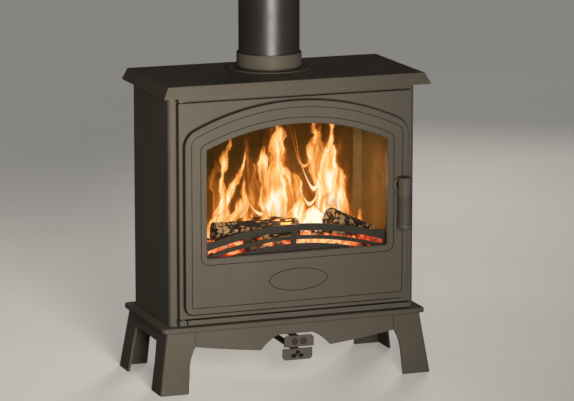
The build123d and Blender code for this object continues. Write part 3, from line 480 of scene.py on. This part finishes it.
def grid_piece(name, points, material, around=False, attributes=None):
    """A mesh from a rows x columns x 3 grid of points; around joins the last column to the first."""
    rows, columns = points.shape[:2]
    index = np.arange(rows * columns).reshape(rows, columns)
    right = np.roll(index, -1, axis=1)
    span = columns if around else columns - 1
    corner_rings = [index[:-1, :span], right[:-1, :span], right[1:, :span], index[1:, :span]]
    quads = np.stack(corner_rings, axis=-1).reshape(-1, 4)
    mesh = bpy.data.meshes.new(name)
    mesh.vertices.add(rows * columns)
    mesh.vertices.foreach_set("co", points.reshape(-1).astype(np.float32))
    mesh.loops.add(quads.size)
    mesh.loops.foreach_set("vertex_index", quads.reshape(-1).astype(np.int32))
    mesh.polygons.add(len(quads))
    mesh.polygons.foreach_set("loop_start", np.arange(0, quads.size, 4, dtype=np.int32))
    mesh.polygons.foreach_set("loop_total", np.full(len(quads), 4, dtype=np.int32))
    mesh.update(calc_edges=True)
    mesh.validate()
    for key, values in (attributes or {}).items():
        layer = mesh.attributes.new(key, "FLOAT", "POINT")
        layer.data.foreach_set("value", values.reshape(-1).astype(np.float32))
    mesh.polygons.foreach_set("use_smooth", np.full(len(mesh.polygons), True))
    mesh.materials.append(material)
    piece = bpy.data.objects.new(name, mesh)
    scene.collection.objects.link(piece)
    print(f"{name}: {len(mesh.vertices)} points, {len(mesh.polygons)} faces")
    return piece


# %% [markdown]
# ## Logs
#
# A log is a profile carried round an axis: from the middle of one end out to its rim, along the bark and
# back to the middle of the other end. The bark is broken into plates by deep dark cracks that run mostly
# along the log, and the ends show rings and a few splits. The same crack pattern that sinks the surface
# also colours it, through an attribute, so paint and shape always agree.

# %% Bark and end grain
char_black = (0.010, 0.008, 0.006)


def bark_and_grain():
    """Charred bark with tan plates and black cracks, and ends with pale rings."""
    material, tree = new_material("charred_log")
    crack = attribute(tree, "crack")
    plates = ramp(
        tree, crack, (0.10, (0.44, 0.30, 0.155)), (0.32, (0.17, 0.100, 0.046)), (0.54, char_black))
    rings = ramp(
        tree, crack, (0.05, (0.36, 0.245, 0.125)), (0.35, (0.15, 0.090, 0.042)), (0.7, char_black))
    mixed = tree.nodes.new("ShaderNodeMix")
    mixed.data_type = "RGBA"
    tree.links.new(attribute(tree, "end_grain"), mixed.inputs["Factor"])
    tree.links.new(plates.outputs["Color"], mixed.inputs["A"])
    tree.links.new(rings.outputs["Color"], mixed.inputs["B"])
    fibre = noise(tree, 420.0, 4.0, 0.6)
    relief = bump(tree, fibre.outputs["Fac"], 0.0010, 0.9)
    heat = attribute(tree, "ember_heat")
    glow = ramp(tree, heat, (0.15, (0, 0, 0)), (0.5, (0.9, 0.10, 0.01)), (1.0, (1.0, 0.42, 0.06)))
    surface(
        tree, mixed.outputs["Result"], None, relief.outputs["Normal"], glow.outputs["Color"],
        Roughness=0.88, Emission_Strength=0.9,
    )
    return material


charred_log = bark_and_grain()
print("log finish made:", charred_log.name)


# %% The log's surface
cap_rows = 26
bark_rows = 150
log_columns = 160
bark_cells = 14
crack_depth = 0.085
rough_depth = 0.035


def make_log(node_name, start, end, radius, seed):
    """A profile (middle of an end, rim, bark, rim, middle) turned round the line from start to end.

    Point = start + along * t + (side * cos a + up * sin a) * spread. The spread is at most the radius and
    sinks by up to about a tenth in the cracks, and the section is slightly oval.
    """
    start = np.array(start)
    end = np.array(end)
    length = np.linalg.norm(end - start)
    along = (end - start) / length
    side = np.cross(along, (0, 0, 1.0))
    side /= np.linalg.norm(side)
    up = np.cross(side, along)
    out = np.linspace(0, 1, cap_rows)
    ratio = np.concatenate([out, np.ones(bark_rows), out[::-1]])
    bark_place = np.linspace(0, 1, bark_rows + 2)[1:-1]
    place = np.concatenate([np.zeros(cap_rows), bark_place, np.ones(cap_rows)]) * length
    turn = np.linspace(0, 2 * np.pi, log_columns, endpoint=False)
    a, s = np.meshgrid(turn, np.arange(len(ratio)))
    r = ratio[s]
    t = place[s]
    first_cap = s < cap_rows
    last_cap = s >= cap_rows + bark_rows
    on_end = (r < 0.985) | first_cap | last_cap

    # Bark: u counts lattice cells round the log, and cracks are the veins of two noises.
    u = a / (2 * np.pi) * bark_cells
    wander = layered_noise(u, t / 0.020, seed + 5, 3, bark_cells)
    ridge = vein(layered_noise(u, t / 0.030 + wander, seed, 4, bark_cells))
    across = vein(layered_noise(u, t / 0.013, seed + 11, 3, bark_cells))
    crack = np.clip(step_between(0.70, 0.95, ridge) + 0.7 * step_between(0.86, 0.99, across), 0, 1)
    rough = layered_noise(u * 3, t / 0.006, seed + 21, 3, bark_cells * 3)

    # Ends: growth rings, fine drying checks and a few splits that run out from the middle.
    rings = 0.5 + 0.5 * np.sin(r * 46 + 2.2 * layered_noise(u, r * 3, seed + 31, 2, bark_cells))
    end_x = radius * r * np.cos(a) / 0.011
    end_z = radius * r * np.sin(a) / 0.011
    checks = step_between(0.62, 0.92, vein(layered_noise(end_x, end_z, seed + 61, 3)))
    splits = vein(layered_noise(u, r * 1.2 + 4, seed + 41, 2, bark_cells))
    splits = step_between(0.93, 0.995, splits) * step_between(0.1, 0.5, r)
    end_tone = 0.16 * rings + 0.6 * splits + 0.85 * checks + 0.35 * step_between(0.88, 1.0, r)
    end_tone = np.clip(end_tone, 0, 1)

    oval = 0.965 + 0.03 * np.cos(2 * a + seed)
    sink = np.where(on_end, 0.0, crack_depth * crack + rough_depth * rough)
    spread = radius * r * oval * (1 - sink) * (1 - 0.05 * np.cos(3 * a + seed))
    spread = np.minimum(spread, radius * r)
    towards_middle = np.where(first_cap, 1, np.where(last_cap, -1, 0))
    t_sunk = t + towards_middle * (0.0035 * splits + 0.002 * rough * (1 - r) + 0.003 * r ** 6)
    points = (
        start
        + along * t_sunk[..., None]
        + side * (spread * np.cos(a))[..., None]
        + up * (spread * np.sin(a))[..., None]
    )
    tone = np.where(on_end, end_tone, np.clip(crack + 0.5 * rough * 0.6, 0, 1))
    underside = step_between(0.2, 0.95, -np.sin(a))
    patches = step_between(0.45, 0.9, layered_noise(u * 2, t / 0.015, seed + 51, 3, bark_cells * 2))
    heat = underside * patches * np.where(on_end, 0.25, 1.0)
    attributes = {
        "crack": tone[:, ::-1],
        "end_grain": np.where(on_end, 1.0, 0.0)[:, ::-1],
        "ember_heat": heat[:, ::-1],
    }
    piece = grid_piece(node_name + "_bark", points[:, ::-1], charred_log, True, attributes)
    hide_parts(node_name)
    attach(piece, "stove")


# %% Three logs where the solids lie
panel_low, panel_high = corners("side_panel_left")
middle_depth = (panel_low[1] + panel_high[1]) / 2


def in_chamber(x, depth, height):
    """A place in the fire chamber: x, depth from the body's middle and height above the fuel, in metres."""
    return (x, middle_depth + depth, bed_top + height)


make_log("log_left", in_chamber(-0.186, -0.076, 0.009), in_chamber(0.034, -0.072, 0.005), 0.029, 3)
make_log("log_right", in_chamber(0.118, -0.076, 0.026), in_chamber(0.232, -0.036, -0.030), 0.031, 8)
make_log("log_rear", in_chamber(-0.120, 0.006, 0.004), in_chamber(0.132, 0.024, 0.004), 0.027, 14)


# %% [markdown]
# ## The bed of coals
#
# Coals are rounded lumps with glowing gaps. A cross-section of the bed, up the front, over the top and
# down the back, is carried from side to side, and every point is pushed in according to how far it is
# from the nearest of many scattered lump centres: the lumps stand proud and the gaps between them sink.

# %% Coals
def coals_finish():
    """Lumps from black to ash grey, darker towards the gaps as painted shade, glowing red-orange in the
    gaps and in the hotter places.
    """
    material, tree = new_material("glowing_coals")
    tone = ramp(
        tree, attribute(tree, "lump"), (0.10, (0.006, 0.004, 0.003)), (0.34, (0.13, 0.075, 0.035)),
        (0.6, (0.46, 0.31, 0.17)), (0.95, (0.62, 0.54, 0.44)),
    )
    grit = noise(tree, 380.0, 4.0, 0.65)
    relief = bump(tree, grit.outputs["Fac"], 0.0012, 0.9)
    glow = ramp(
        tree, attribute(tree, "ember_heat"), (0.22, (0, 0, 0)), (0.45, (0.70, 0.05, 0.012)),
        (0.70, (1.0, 0.22, 0.04)), (1.0, (1.0, 0.65, 0.30)),
    )
    surface(
        tree, tone.outputs["Color"], None, relief.outputs["Normal"], glow.outputs["Color"],
        Roughness=0.9, Emission_Strength=1.1,
    )
    return material


coal_columns = 330
coal_rows = 210
lump_count = 760
lump_stretch = 0.62
gap_width = 0.0075
gap_depth = 0.010
bend = 0.022


def make_coals():
    """The bed's cross-section carried along x, pushed in between scattered lumps.

    How far a point is from a gap = (distance to the second nearest lump centre) - (distance to the
    nearest), which is 0 in the middle of a gap.
    """
    low, high = corners("ember_bed")
    rise = high[2] - low[2]
    depth = high[1] - low[1]
    x = np.linspace(low[0], high[0], coal_columns)
    path = np.linspace(0, 2 * rise + depth - 2 * bend, coal_rows)
    run, across = np.meshgrid(path, x, indexing="ij")
    front = np.clip(run, 0, rise - bend)
    top = np.clip(run - (rise - bend), 0, depth)
    back = np.clip(run - (rise - bend) - depth, 0, rise - bend)
    arc_front = np.clip(top / bend, 0, 1) * np.pi / 2
    arc_back = np.clip((top - (depth - bend)) / bend, 0, 1) * np.pi / 2
    flat_top = np.clip(top - bend, 0, depth - 2 * bend)
    y = low[1] + bend * (1 - np.cos(arc_front)) + flat_top + bend * np.sin(arc_back)
    z = low[2] + front + bend * np.sin(arc_front) - bend * (1 - np.cos(arc_back)) - back
    rng = np.random.default_rng(12)
    centre_x = rng.uniform(low[0], high[0], lump_count)
    centre_run = rng.uniform(0, path[-1], lump_count)
    shade = rng.random(lump_count)
    nearest = np.full(run.shape, np.inf)
    second = np.full(run.shape, np.inf)
    owner = np.zeros(run.shape, int)
    for k in range(lump_count):
        gap = np.hypot((across - centre_x[k]) * lump_stretch, run - centre_run[k])
        closer = gap < nearest
        second = np.where(closer, nearest, np.minimum(second, gap))
        owner = np.where(closer, k, owner)
        nearest = np.where(closer, gap, nearest)
    dome = step_between(0.0, gap_width, second - nearest)
    wobble = layered_noise(across / 0.009, run / 0.009, 60, 3)
    push = gap_depth * (1 - dome) + 0.0035 * wobble
    ends = step_between(0, 0.02, across - low[0]) * step_between(0, 0.02, high[0] - across)
    on_back = run > rise + depth - bend
    normal_y = np.where(run < rise - bend, -1.0, np.where(on_back, 1.0, 0.0))
    normal_z = 1 - np.abs(normal_y)
    y = np.clip(y - normal_y * push, low[1] + 0.0002, high[1])
    z = np.clip(z - normal_z * push - (1 - ends) * 0.02, low[2], high[2])
    points = np.stack([across, y, z], axis=-1)

    # Heat gathers in two bell-shaped places along the bed, and darker lumps glow more than ashy ones.
    right_bell = np.exp(-(((across - 0.07) / 0.13) ** 2)) * 0.55
    left_bell = np.exp(-(((across + 0.17) / 0.09) ** 2)) * 0.35
    blush = layered_noise(across / 0.05, run / 0.03, 71, 3)
    ashy = shade[owner]
    lit = step_between(0.50, 0.64, blush) * (0.40 + (right_bell + left_bell)) * (1.5 - 1.2 * ashy)
    heat = np.clip((1 - dome) * (0.12 + 0.45 * blush) + lit * (0.7 + 0.8 * (wobble - 0.4)), 0, 1)
    # Painted shade: each lump's colour darkens towards the gaps between lumps, down to 0.35 of its tone in
    # a gap's middle.
    lump = np.clip(ashy * 0.85 + 0.3 * (wobble - 0.4), 0, 1) * (0.35 + 0.65 * dome)
    attributes = {"ember_heat": heat[:, ::-1], "lump": lump[:, ::-1]}
    piece = grid_piece("coals", points[:, ::-1], coals_finish(), False, attributes)
    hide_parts("ember_bed")
    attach(piece, "stove")


make_coals()


# %% [markdown]
# ## Flames
#
# A flame is a thin glowing curtain with no hard surface. Each curtain here is one curved sheet that
# stores two numbers at every point: how bright it is and how solid. Tongues rise from the fuel along
# swaying lines and thin out to a tip, with a bright core, a brighter torn edge and a dim halo. Between
# tall tongues hang folds, thin bright bows like the hem of a curtain. Three curtains at different
# depths give the fire its volume.

# %% Flame material
def flame_finish():
    """Light only: deep orange where dim, yellow-white where bright, and clear where there is no flame."""
    material, tree = new_material("flame")
    colour = ramp(
        tree, attribute(tree, "glow"), (0.0, (0.24, 0.032, 0.003)), (0.22, (0.60, 0.15, 0.018)),
        (0.45, (0.95, 0.37, 0.07)), (0.68, (1.0, 0.68, 0.28)), (0.9, (1.0, 0.95, 0.80)),
    )
    light = node(tree, "ShaderNodeEmission", Strength=1.25)
    tree.links.new(colour.outputs["Color"], light.inputs["Color"])
    clear = tree.nodes.new("ShaderNodeBsdfTransparent")
    mixed = tree.nodes.new("ShaderNodeMixShader")
    tree.links.new(attribute(tree, "solid"), mixed.inputs["Fac"])
    tree.links.new(clear.outputs["BSDF"], mixed.inputs[1])
    tree.links.new(light.outputs["Emission"], mixed.inputs[2])
    finish(tree, mixed.outputs["Shader"])
    return material


flame = flame_finish()
print("flame finish made:", flame.name)


# %% The curtains
flame_columns = 330
flame_rows = 230
curtain_left = -0.238
curtain_right = 0.232
curtain_height = 0.296
curtain_foot = bed_top - 0.012


def make_curtain(name, depth, tongues, folds, seed):
    """A sheet across the chamber.

    Tongues are (x at the foot, x at the tip, half width, height, curl, brightness); folds are (middle x,
    height of the lowest point, half span, rise at the ends, brightness). A tongue's brightness across
    its width is a bell, exp(-1.5 d^2) with d the distance from its middle line in half widths, plus a
    thin bright hem near d = 0.8 and a wide faint halo.
    """
    columns = np.linspace(curtain_left, curtain_right, flame_columns)
    x, h = np.meshgrid(columns, np.linspace(0, curtain_height, flame_rows))
    sway = layered_noise(x / 0.060, h / 0.075 + 3, seed, 2) - 0.5
    tear = layered_noise(x / 0.020, h / 0.034, seed + 9, 4) - 0.5
    wisp = layered_noise(x / 0.009, h / 0.030, seed + 19, 3) - 0.5
    glow = np.zeros_like(x)
    for k, (foot_x, tip_x, half, height, curl, bright) in enumerate(tongues):
        up = np.clip(h / height, 0, 1.25)
        curled = curl * np.sin(up * 5.2 + seed + 1.9 * k) * up * 1.2
        line = foot_x + (tip_x - foot_x) * up ** 1.5 + curled
        away = x - line + (0.038 * sway + 0.030 * tear) * (0.35 + up)
        width = half * np.clip(1.04 - up, 0, 1) ** 0.55 * (1.0 - 0.25 * up) + 0.0008
        offset = np.abs(away) / width
        core = np.exp(-(offset ** 2) * 1.5)
        hem = np.exp(-(((offset - 0.80) / 0.15) ** 2))
        halo = np.exp(-((offset / 3.0) ** 2))
        fade = 1 - step_between(0.62, 1.06, up + 0.35 * tear)
        tongue = (0.60 * core + 0.34 * hem + 0.20 * halo) * fade * bright
        glow = np.maximum(glow, tongue) + 0.30 * np.minimum(glow, tongue)
    strand = vein(layered_noise(x / 0.022 + 1.2 * sway, h / 0.12, seed + 17, 3))
    glow = glow * (0.40 + 0.80 * strand ** 2.0 + 0.40 * wisp)
    for middle, lowest, span, rise, bright in folds:
        reach = (x - middle) / span + 0.35 * sway
        bow = lowest + rise * reach ** 2
        thick = 0.0030 + 0.0022 * (1 - np.clip(np.abs(reach), 0, 1))
        line = np.exp(-(((h - bow) / thick) ** 2)) * np.clip(1.15 - np.abs(reach), 0, 1) ** 0.5
        below = np.exp(-(((bow - h) / 0.022) ** 2)) * (h < bow)
        veil = 0.28 * below * np.clip(1.1 - np.abs(reach), 0, 1)
        glow = np.maximum(glow, (line + veil) * bright)
    glow = np.clip(glow, 0, 1)
    left_edge = step_between(0, 0.025, x - curtain_left)
    right_edge = step_between(0, 0.02, curtain_right - x)
    top_edge = step_between(0, 0.02, curtain_height - h)
    solid = step_between(0.03, 0.50, glow) * 0.97 * (left_edge * right_edge * top_edge)
    y = middle_depth + depth + 0.010 * np.sin(x / 0.05 + seed) + 0.012 * sway
    points = np.stack([x, y, curtain_foot + h], axis=-1)
    piece = grid_piece(name, points, flame, False, {"glow": glow, "solid": solid})
    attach(piece, "stove")


make_curtain("flame_curtain_back", 0.052, [
    (-0.120, -0.150, 0.026, 0.200, 0.012, 0.42), (-0.020, -0.060, 0.030, 0.250, 0.012, 0.46),
    (0.050, 0.010, 0.028, 0.300, 0.010, 0.52), (0.150, 0.125, 0.032, 0.310, 0.012, 0.56),
    (0.172, 0.165, 0.060, 0.240, 0.004, 0.34),
], [(0.100, 0.150, 0.040, 0.120, 0.50)], 21)
make_curtain("flame_curtain_middle", -0.004, [
    (-0.125, -0.140, 0.012, 0.262, 0.010, 0.85), (-0.150, -0.070, 0.017, 0.225, 0.022, 0.90),
    (-0.085, -0.050, 0.015, 0.150, 0.014, 0.75), (-0.015, -0.010, 0.020, 0.265, 0.010, 0.85),
    (0.012, 0.008, 0.028, 0.300, 0.012, 0.95), (0.058, 0.030, 0.020, 0.200, 0.012, 1.00),
    (0.118, 0.096, 0.015, 0.300, 0.010, 0.90), (0.150, 0.140, 0.028, 0.312, 0.010, 0.95),
    (0.175, 0.160, 0.018, 0.190, 0.010, 0.90),
], [
    (0.100, 0.104, 0.046, 0.125, 1.15), (0.088, 0.066, 0.040, 0.085, 0.95),
    (-0.030, 0.045, 0.040, 0.060, 0.85),
], 34)
make_curtain("flame_curtain_front", -0.044, [
    (-0.185, -0.165, 0.013, 0.080, 0.006, 0.70), (-0.145, -0.115, 0.026, 0.105, 0.010, 0.95),
    (-0.090, -0.075, 0.016, 0.070, 0.010, 0.80), (-0.030, -0.025, 0.022, 0.080, 0.010, 0.75),
    (0.030, 0.040, 0.026, 0.110, 0.010, 0.90), (0.088, 0.086, 0.052, 0.072, 0.004, 2.3),
    (0.130, 0.135, 0.026, 0.110, 0.008, 1.2), (0.215, 0.205, 0.010, 0.060, 0.008, 0.50),
], [], 47)


# %% [markdown]
# ## Light from the fire
#
# The curtains glow, but thin sheets light their surroundings noisily. Small warm lamps inside the
# chamber do that work instead: one low in the hottest place, one higher on each side, and one in front
# of the logs, so that bricks, logs and the inside of the door frame take the fire's colour.

# %% Fire lamps
def add_fire_lamp(name, place, energy, colour, radius):
    """A small round warm lamp, out of sight among the flames."""
    data = bpy.data.lights.new(name, "POINT")
    data.energy = energy
    data.color = colour
    data.shadow_soft_size = radius
    lamp = bpy.data.objects.new(name, data)
    scene.collection.objects.link(lamp)
    lamp.location = place


add_fire_lamp("fire_low", in_chamber(0.09, -0.02, 0.07), 0.75, (1.0, 0.55, 0.20), 0.03)
add_fire_lamp("fire_left", in_chamber(-0.13, -0.03, 0.10), 0.22, (1.0, 0.48, 0.15), 0.03)
add_fire_lamp("fire_right", in_chamber(0.175, -0.01, 0.11), 0.75, (1.0, 0.50, 0.16), 0.03)
add_fire_lamp("fire_front", in_chamber(0.0, -0.105, 0.05), 0.34, (1.0, 0.55, 0.22), 0.02)


# %% [markdown]
# ## Signs on the air controls
#
# Two plates under the stove work the air: the upper for wood, the lower for coal. Instead of words they
# carry raised pictures: two sawn log ends with their rings, and a heap of three lumps. Rings are
# flattened tubes and lumps are domes, both worked out on grids.

# %% Raised pictures
ring_spacing = 0.011
ring_radii = (0.0075, 0.0045, 0.0016)
ring_thickness = 0.0009
lump_height = 0.0011
lump_flatness = 0.72
lumps = ((-0.0095, -0.003, 0.0075), (0.0085, -0.0035, 0.0068), (0.000, 0.0052, 0.0060))


def ring_points(x, z, y, radius, thick):
    """A tube round a circle in the upright plane, pressed to half its depth against the plate at y."""
    round_ring = np.linspace(0, 2 * np.pi, 48, endpoint=False)
    round_tube = np.linspace(0, 2 * np.pi, 12, endpoint=False)
    a, b = np.meshgrid(round_ring, round_tube)
    reach = radius + thick * np.cos(b)
    return np.stack(
        [x + reach * np.cos(a), y - 0.5 * thick * np.sin(b), z + reach * np.sin(a)], axis=-1)


def dome_points(x, z, y, wide, tall, seed):
    """A low dome with an uneven outline, closed at its middle, standing out towards -Y."""
    round_lump = np.linspace(0, 2 * np.pi, 40, endpoint=False)
    a, t = np.meshgrid(round_lump, np.linspace(0, 1, 14))
    outline = 1 + 0.10 * np.sin(3 * a + seed) + 0.06 * np.sin(5 * a + 2 * seed)
    return np.stack([
        x + wide * t * outline * np.cos(a),
        y - lump_height * np.sqrt(np.clip(1 - t ** 2, 0, 1)),
        z + tall * t * outline * np.sin(a),
    ], axis=-1)


def add_sign(name, points, body):
    """A closed band of a sign in black, riding on its control."""
    piece = grid_piece(name, points, sign_ink, True)
    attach(piece, body)


wood_low, wood_high = corners("wood_air_tag")
coal_low, coal_high = corners("coal_air_tag")
wood_z = (wood_low[2] + wood_high[2]) / 2
coal_z = (coal_low[2] + coal_high[2]) / 2
for number, ring_radius in enumerate(ring_radii):
    for side, ring_x in (("left", -ring_spacing), ("right", ring_spacing)):
        band = ring_points(ring_x, wood_z, wood_low[1], ring_radius, ring_thickness)
        closed = np.concatenate([band, band[:1]], axis=0)
        add_sign(f"log_sign_{side}_{number}", closed, "wood_control")
for number, (lump_x, lump_z, lump_size) in enumerate(lumps):
    dome = dome_points(
        lump_x, coal_z + lump_z, coal_low[1], lump_size, lump_size * lump_flatness, number)
    add_sign(f"coal_sign_{number}", dome, "coal_control")


# %% [markdown]
# ## The floor
#
# A plain pale floor, wide enough to fill the view. It is part of the studio and not of the stove.

# %% Floor
floor_reach = 20
floor_drop = 0.0005


def add_floor():
    """A flat matt square, a hair below the feet, that lights itself a little and tints nothing."""
    material, tree = new_material("pale_floor")
    drift = noise(tree, 1.2, 3.0, 0.5)
    tone = ramp(tree, drift.outputs["Fac"], (0.3, (0.60, 0.58, 0.54)), (0.7, (0.66, 0.64, 0.60)))
    surface(
        tree, tone.outputs["Color"], Roughness=0.85, Emission_Color=(0.62, 0.60, 0.56, 1),
        Emission_Strength=0.34,
    )
    reach = np.linspace(-floor_reach, floor_reach, 9)
    x, y = np.meshgrid(reach, reach)
    points = np.stack([x, y, np.full_like(x, -floor_drop)], axis=-1)
    floor = grid_piece("studio_floor", points, material)
    floor.visible_glossy = False
    floor.visible_diffuse = False


add_floor()
